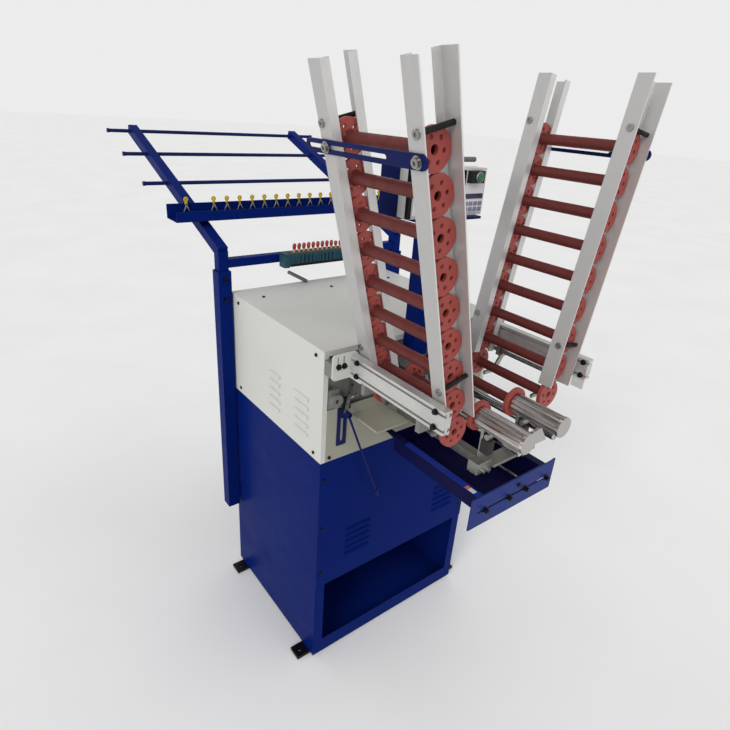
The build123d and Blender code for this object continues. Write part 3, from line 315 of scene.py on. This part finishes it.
# ------------------------------------------------------------------ mesh helpers
def add_object(name, bm, material, body, smooth=True):
    """Turn a bmesh into a piece that rides on a body."""
    mesh = bpy.data.meshes.new(name)
    bmesh.ops.recalc_face_normals(bm, faces=bm.faces)
    bm.to_mesh(mesh)
    bm.free()
    obj = bpy.data.objects.new(name, mesh)
    bpy.context.scene.collection.objects.link(obj)
    mesh.materials.append(material)
    if smooth:
        for poly in mesh.polygons:
            poly.use_smooth = True
    if body:
        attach(obj, body)
    return obj


def lathe(bm, profile, steps=48, matrix=Matrix.Identity(4)):
    """Revolve (radius, y) points about Y."""
    rings = []
    for radius, y in profile:
        ring = []
        for step in range(steps):
            angle = TAU * step / steps
            point = Vector((radius * math.cos(angle), y, radius * math.sin(angle)))
            ring.append(bm.verts.new(matrix @ point))
        rings.append(ring)
    for a, b in zip(rings, rings[1:]):
        for i in range(steps):
            j = (i + 1) % steps
            bm.faces.new((a[i], a[j], b[j], b[i]))


def slab(bm, low, high, round_by):
    """Block between two corners, its edges rounded."""
    made = bmesh.ops.create_cube(bm, size=1.0)
    size = Vector(high) - Vector(low)
    middle = (Vector(high) + Vector(low)) / 2
    for vert in made["verts"]:
        vert.co = Vector((vert.co.x * size.x, vert.co.y * size.y, vert.co.z * size.z)) + middle
    edges = list({edge for vert in made["verts"] for edge in vert.link_edges})
    bmesh.ops.bevel(bm, geom=edges, offset=round_by, segments=2, profile=0.6, affect="EDGES")


def add_slabs(name, blocks, material, body):
    """One flat-shaded piece from rounded blocks: (low corner, high corner, rounding)."""
    bm = bmesh.new()
    for low, high, round_by in blocks:
        slab(bm, low, high, round_by)
    return add_object(name, bm, MAT[material], body, False)


# ------------------------------------------------------------------ camera and light
def make_camera():
    """Camera at the photograph's viewing angle."""
    data = bpy.data.cameras.new("camera")
    data.sensor_width = CAMERA_SENSOR
    data.lens = CAMERA_LENS
    data.clip_start = 0.05
    data.clip_end = 60.0
    cam = bpy.data.objects.new("camera", data)
    bpy.context.scene.collection.objects.link(cam)
    azimuth = math.radians(CAMERA_AZIMUTH)
    elevation = math.radians(CAMERA_ELEVATION)
    roll = math.radians(CAMERA_ROLL)
    ahead = Vector((math.cos(elevation) * math.sin(azimuth),
                    math.cos(elevation) * math.cos(azimuth), -math.sin(elevation)))
    right = ahead.cross(Vector((0, 0, 1))).normalized()
    up = right.cross(ahead).normalized()
    tilted = right * math.cos(roll) + up * math.sin(roll)
    upward = up * math.cos(roll) - right * math.sin(roll)
    turn = Matrix((tilted, upward, -ahead)).transposed().to_4x4()
    cam.matrix_world = Matrix.Translation(CAMERA_PLACE) @ turn
    bpy.context.scene.camera = cam


def add_sun(name, place, power, spread, colour):
    """Soft distant light that shines from a place towards the machine."""
    data = bpy.data.lights.new(name, "SUN")
    data.angle = math.radians(spread)
    data.energy = power
    data.color = colour
    lamp = bpy.data.objects.new(name, data)
    bpy.context.scene.collection.objects.link(lamp)
    lamp.location = place
    lamp.rotation_mode = "QUATERNION"
    lamp.rotation_quaternion = (-Vector(place)).to_track_quat("-Z", "Y")


def make_stage():
    """Pale floor and even surrounding light."""
    bm = bmesh.new()
    bmesh.ops.create_grid(bm, x_segments=2, y_segments=2, size=40.0)
    mat, tree, shader = new_material("floor_material")
    shade = noise(tree, coords(tree), 1.5, 3.0)
    set_colour(tree, shader, ramp(tree, shade, 0.91, 0.94))
    shader.inputs["Roughness"].default_value = 0.9
    floor = add_object("floor", bm, mat, None, smooth=False)
    floor.location.z = -0.0005
    world = bpy.data.worlds.new("world")
    bpy.context.scene.world = world
    world.use_nodes = True
    sky = world.node_tree
    back = sky.nodes["Background"]
    where = sky.nodes.new("ShaderNodeTexCoord")
    split = sky.nodes.new("ShaderNodeSeparateXYZ")
    sky.links.new(where.outputs["Generated"], split.inputs["Vector"])
    shade = ramp(sky, split.outputs["Z"], 0.84, 0.56, (0.16, 0.55))
    sky.links.new(shade, back.inputs["Color"])
    back.inputs["Strength"].default_value = 1.0
    add_sun("key", (-3.2, -1.6, 2.2), 1.2, 25.0, (1.0, 0.99, 0.97))
    add_sun("fill", (1.5, -2.0, 3.0), 0.35, 40.0, (0.96, 0.98, 1.0))
    bpy.context.scene.view_settings.view_transform = "Standard"


# ------------------------------------------------------------------ bobbins
def circle_points(radius, steps, cx=0.0, cz=0.0):
    """Points of a circle in X and Z."""
    angles = [TAU * i / steps for i in range(steps)]
    return [(cx + radius * math.cos(a), cz + radius * math.sin(a)) for a in angles]


def flange_face(bm, y, inset, loops):
    """Flat face at height y with holes; returns the rim loops, outer one first."""
    edges, rims = [], []
    for radius, steps, cx, cz in loops:
        points = circle_points(radius - inset if not rims else radius + inset, steps, cx, cz)
        ring = [bm.verts.new((x, y, z)) for x, z in points]
        rims.append(ring)
        for i in range(steps):
            edges.append(bm.edges.new((ring[i], ring[(i + 1) % steps])))
    bmesh.ops.triangle_fill(bm, edges=edges, use_beauty=True)
    return rims


def wall(bm, loop_a, loop_b):
    """Quads between two loops of the same length."""
    count = len(loop_a)
    for i in range(count):
        j = (i + 1) % count
        bm.faces.new((loop_a[i], loop_a[j], loop_b[j], loop_b[i]))


def finish_mesh(name, bm, material):
    """Smooth-shaded mesh with a material, to be shared by several pieces."""
    bmesh.ops.recalc_face_normals(bm, faces=bm.faces)
    mesh = bpy.data.meshes.new(name)
    bm.to_mesh(mesh)
    bm.free()
    for poly in mesh.polygons:
        poly.use_smooth = True
    mesh.materials.append(MAT[material])
    return mesh


def make_flange(name):
    """Flange with softened rims, a bore and a ring of lightening holes."""
    bm = bmesh.new()
    loops = [(FLANGE_R, 72, 0.0, 0.0), (BORE_R, 28, 0.0, 0.0)]
    for i in range(HOLE_COUNT):
        angle = math.radians(30 + 360 / HOLE_COUNT * i)
        loops.append((HOLE_R, 18, HOLE_CIRCLE_R * math.cos(angle), HOLE_CIRCLE_R * math.sin(angle)))
    soft = 0.0009
    front = flange_face(bm, 0.0, soft, loops)
    back = flange_face(bm, FLANGE_T, soft, loops)
    for index, (radius, steps, cx, cz) in enumerate(loops):
        rings = [front[index]]
        for y in (soft, FLANGE_T - soft):
            points = circle_points(radius, steps, cx, cz)
            rings.append([bm.verts.new((x, y, z)) for x, z in points])
        rings.append(back[index])
        for a, b in zip(rings, rings[1:]):
            wall(bm, a, b)
    mesh = finish_mesh(name, bm, "coral_plastic")
    mesh.set_sharp_from_angle(angle=math.radians(28))
    return mesh


def make_barrel(name):
    """Barrel with fillets into both flanges."""
    bm = bmesh.new()
    low, high = FLANGE_T - 0.0005, BOBBIN_LEN - FLANGE_T + 0.0005
    fillet = ((BARREL_R + 0.004, 0.0), (BARREL_R + 0.0012, 0.0018), (BARREL_R, 0.0045))
    profile = [(radius, low + depth) for radius, depth in fillet]
    for i in range(1, 12):
        profile.append((BARREL_R, low + 0.0045 + (high - low - 0.009) * i / 12))
    profile += [(radius, high - depth) for radius, depth in reversed(fillet)]
    lathe(bm, profile, 40)
    # The barrel takes the darker plastic as painted shade between the flanges.
    return finish_mesh(name, bm, "barrel_painted_shade_plastic")


FLANGE_MESH = make_flange("bobbin_flange")
BARREL_MESH = make_barrel("bobbin_barrel")


def place_bobbin(name, matrix, body, node):
    """One bobbin from shared meshes, standing for its solid in a CAD node."""
    parts = (("_front", FLANGE_MESH, 0.0), ("_barrel", BARREL_MESH, 0.0),
             ("_back", FLANGE_MESH, BOBBIN_LEN - FLANGE_T))
    for suffix, mesh, y in parts:
        piece = bpy.data.objects.new(name + suffix, mesh)
        bpy.context.scene.collection.objects.link(piece)
        piece.matrix_world = matrix @ Matrix.Translation((0, y, 0))
        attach(piece, body)
        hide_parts(node)


def make_bobbins():
    """Every bobbin of the machine."""
    for label, (x, z, lean) in MAGAZINES.items():
        base = Matrix.Translation((x, 0, z)) @ Matrix.Rotation(math.radians(lean), 4, "Y")
        for i in range(MAGAZINE_COUNT):
            spot = base @ Matrix.Translation((0, MAG_FRONT, i * PITCH))
            spot = spot @ Matrix.Rotation(math.radians((i * 137) % 60 - 30), 4, "Y")
            top = i == MAGAZINE_COUNT - 1
            body = label + ("_top" if top else "_stack")
            node = label + ("_top_bobbin" if top else "_bobbin_stack")
            place_bobbin(f"{label}_bobbin_{i + 1}", spot, body, node)
        side = -1 if label == "left" else 1
        spot = Matrix.Translation((side * STATION_X, STATION_FRONT, STATION_Z))
        place_bobbin(f"{label}_station_bobbin", spot, label + "_spindle_unit", label + "_wound_bobbin")


# ------------------------------------------------------------------ small detail pieces
def make_eyelets():
    """Yellow pigtail eyelets with spread wire legs on the guide channel."""
    low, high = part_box("thread_eyelets")
    first = -EYELET_PITCH * (EYELET_COUNT - 1) / 2
    y = low.y + 0.001
    top = high.z - 0.0185
    bm = bmesh.new()
    wires = bmesh.new()
    for index in range(EYELET_COUNT):
        if index in EYELETS_LEFT_OUT:
            continue
        x = first + index * EYELET_PITCH
        base = Matrix.Translation((x, (low.y + high.y) / 2, top + 0.011))
        ring_profile = []
        for step in range(13):
            angle = TAU * step / 12
            ring_profile.append((0.0044 + 0.0030 * math.cos(angle), 0.0030 * math.sin(angle)))
        lathe(bm, ring_profile, 24, base)
        lathe(bm, [(0.0001, -0.0150), (0.0042, -0.0145), (0.0042, -0.0070), (0.0030, -0.0050)], 12,
              base @ Matrix.Rotation(math.radians(90), 4, "X"))
        for side in (-1, 1):
            start = Vector((x, y, top - 0.004))
            end = Vector((x + side * 0.010, y - 0.001, top - 0.026))
            span = end - start
            turn = Vector((0, 1, 0)).rotation_difference(span).to_matrix().to_4x4()
            lathe(wires, [(0.0001, 0), (0.0020, 0.0003), (0.0020, span.length - 0.0003),
                          (0.0001, span.length)], 8, Matrix.Translation(start) @ turn)
            pad = Matrix.Translation(end + Vector((0, 0.0006, 0)))
            lathe(wires, [(0.0001, -0.0012), (0.0026, -0.0010), (0.0026, 0.0006), (0.0001, 0.0006)],
                  10, pad)
    rings = add_object("eyelet_rings", bm, MAT["yellow_metal"], "creel")
    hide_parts("thread_eyelets")
    add_object("eyelet_legs", wires, MAT["grey_casting"], "creel")


def make_tensioner():
    """Ribs, brown top strip and black foot of the tension unit."""
    low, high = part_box("tensioner_body")
    low = low + Vector((0.024, 0.004, 0.002))
    step, rib, margin = 0.0125, 0.004, 0.006
    ribs = []
    for index in range(int((high.x - low.x - margin) / step)):
        x = low.x + rib + index * step
        ribs.append(((x, low.y - 0.0022, low.z + 0.011), (x + rib, low.y + 0.001, high.z - 0.005),
                     0.0009))
    add_slabs("tensioner_ribs", ribs, "teal_metal", "creel")
    strip = ((low.x + 0.004, low.y + 0.001, high.z - 0.0005),
             (high.x - 0.001, high.y - 0.002, high.z + 0.003), 0.0012)
    add_slabs("tensioner_top_strip", [strip], "brown_strip", "creel")
    foot = ((low.x, low.y - 0.0006, low.z - 0.001), (high.x, high.y - 0.001, low.z + 0.007), 0.0008)
    add_slabs("tensioner_foot", [foot], "black_steel", "creel")


def make_tension_knobs():
    """Long red knobs over cream pegs with springs, in two rows."""
    low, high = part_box("tensioner_body")
    caps, pegs = bmesh.new(), bmesh.new()
    knob = [(0.0001, 0.0260), (0.0028, 0.0257), (0.0046, 0.0243), (0.0055, 0.0215),
            (0.0053, 0.0165), (0.0044, 0.0125), (0.0030, 0.0108), (0.0001, 0.0106)]
    peg = [(0.0001, 0.0)]
    for ring in range(9):
        up = 0.0006 + ring * 0.0013
        peg += [(0.0040, up), (0.0030, up + 0.00065)]
    upright = Matrix.Rotation(math.radians(90), 4, "X")
    for offset, y, count in KNOB_ROWS:
        for index in range(count):
            x = low.x + offset + index * KNOB_PITCH
            turn = Matrix.Translation((x, y, high.z)) @ upright
            lathe(caps, knob, 20, turn)
            lathe(pegs, peg, 16, turn)
    knobs = add_object("tension_knob_caps", caps, MAT["red_plastic"], "creel")
    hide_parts("tension_knobs")
    add_object("tension_knob_pegs", pegs, MAT["cream_plastic"], "creel")


def make_control_panel():
    """Operating panel on the control box: sheet, dark bands, blank keys and edges."""
    low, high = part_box("control_box")
    face = low.y
    sheet = ((low.x + 0.010, face - 0.0016, low.z + 0.006),
             (high.x - 0.004, face + 0.0005, high.z - 0.006), 0.0012)
    add_slabs("head_panel_sheet", [sheet], "panel_white", "machine")
    bands = (((low.x + 0.176, face - 0.0032, low.z + 0.040),
              (high.x - 0.006, face - 0.001, low.z + 0.052), 0.0006),
             ((low.x + 0.030, face - 0.0032, low.z + 0.030),
              (low.x + 0.120, face - 0.001, low.z + 0.075), 0.0010))
    add_slabs("head_panel_band", bands, "navy_band", "machine")
    keys = []
    for row in range(2):
        for column in range(4):
            x = low.x + 0.178 + column * 0.0165
            z = low.z + 0.010 + row * 0.0135
            keys.append(((x, face - 0.0036, z), (x + 0.0125, face - 0.001, z + 0.010), 0.0011))
    add_slabs("head_panel_keys", keys, "grey_lilac", "machine")
    edges = (((low.x + 0.163, face - 0.0040, low.z + 0.004),
              (low.x + 0.172, face + 0.0004, high.z - 0.004), 0.0012),
             ((low.x - 0.0035, face - 0.0020, low.z + 0.001),
              (low.x + 0.0060, face + 0.010, high.z - 0.001), 0.0012))
    add_slabs("head_panel_edges", edges, "black_steel", "machine")


def make_push_button():
    """Green cap that moves with the button, in a fixed collar."""
    button_low, button_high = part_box("start_button")
    x = (button_low.x + button_high.x) / 2
    z = (button_low.z + button_high.z) / 2
    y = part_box("switch_housing")[0].y
    collar = bmesh.new()
    ring = Matrix.Translation((x, y, z))
    lathe(collar, [(0.0095, 0.0005), (0.0095, -0.0022), (0.0102, -0.0030), (0.0118, -0.0030),
                   (0.0128, -0.0022), (0.0130, 0.0005)], 40, ring)
    add_object("button_collar", collar, MAT["zinc_steel"], "machine")
    cap = bmesh.new()
    lathe(cap, [(0.0090, 0.0060), (0.0090, -0.0040), (0.0082, -0.0054), (0.0060, -0.0060),
                (0.0055, -0.0052), (0.0001, -0.0050)], 40, ring)
    green = add_object("button_cap", cap, MAT["green_plastic"], "button")
    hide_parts("start_button")


def make_tray_patch():
    """Blue skin on the tray's left flange with a plain two-colour patch."""
    low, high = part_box("collecting_tray")
    front = low.y
    skin = ((low.x + 0.0002, front + 0.0004, high.z - 0.0036),
            (low.x + 0.0195, TRAY_SKIN_BACK, high.z - 0.0026), 0.0002)
    add_slabs("tray_flange_skin", [skin], "flange_blue", "machine")
    patches = (("patch_white", 0.014, 0.032, "white_paint"), ("patch_orange", 0.033, 0.042, "orange"))
    for name, y0, y1, tint in patches:
        patch = ((low.x + 0.002, front + y0, high.z - 0.0026),
                 (low.x + 0.014, front + y1, high.z - 0.0020), 0.0003)
        add_slabs(name, [patch], tint, "machine")


def make_lever_fittings():
    """Black clamp blocks with a short bright handle behind the lever's crank."""
    blocks = bmesh.new()
    slab(blocks, (-0.246, -0.2650, 0.896), (-0.223, -0.2545, 0.916), 0.0016)
    slab(blocks, (-0.236, -0.2660, 0.884), (-0.222, -0.2545, 0.897), 0.0012)
    for x, z in ((-0.240, 0.906), (-0.229, 0.906)):
        lathe(blocks, [(0.0001, -0.0016), (0.0030, -0.0014), (0.0034, 0.0), (0.0034, 0.001)], 16,
              Matrix.Translation((x, -0.2648, z)))
    add_object("lever_clamp_blocks", blocks, MAT["dark_plastic"], "machine", False)
    handle = bmesh.new()
    turn = Matrix.Translation((-0.224, -0.2605, 0.911)) @ Matrix.Rotation(math.radians(-78), 4, "Z")
    lathe(handle, [(0.0001, 0.0), (0.0030, 0.0004), (0.0030, 0.0240), (0.0042, 0.0252),
                   (0.0046, 0.0285), (0.0036, 0.0315), (0.0001, 0.0325)], 20, turn)
    add_object("lever_side_handle", handle, MAT["bright_steel"], "machine")


make_bobbins()
make_eyelets()
make_tensioner()
make_tension_knobs()
make_control_panel()
make_push_button()
make_lever_fittings()
make_tray_patch()
make_camera()
make_stage()
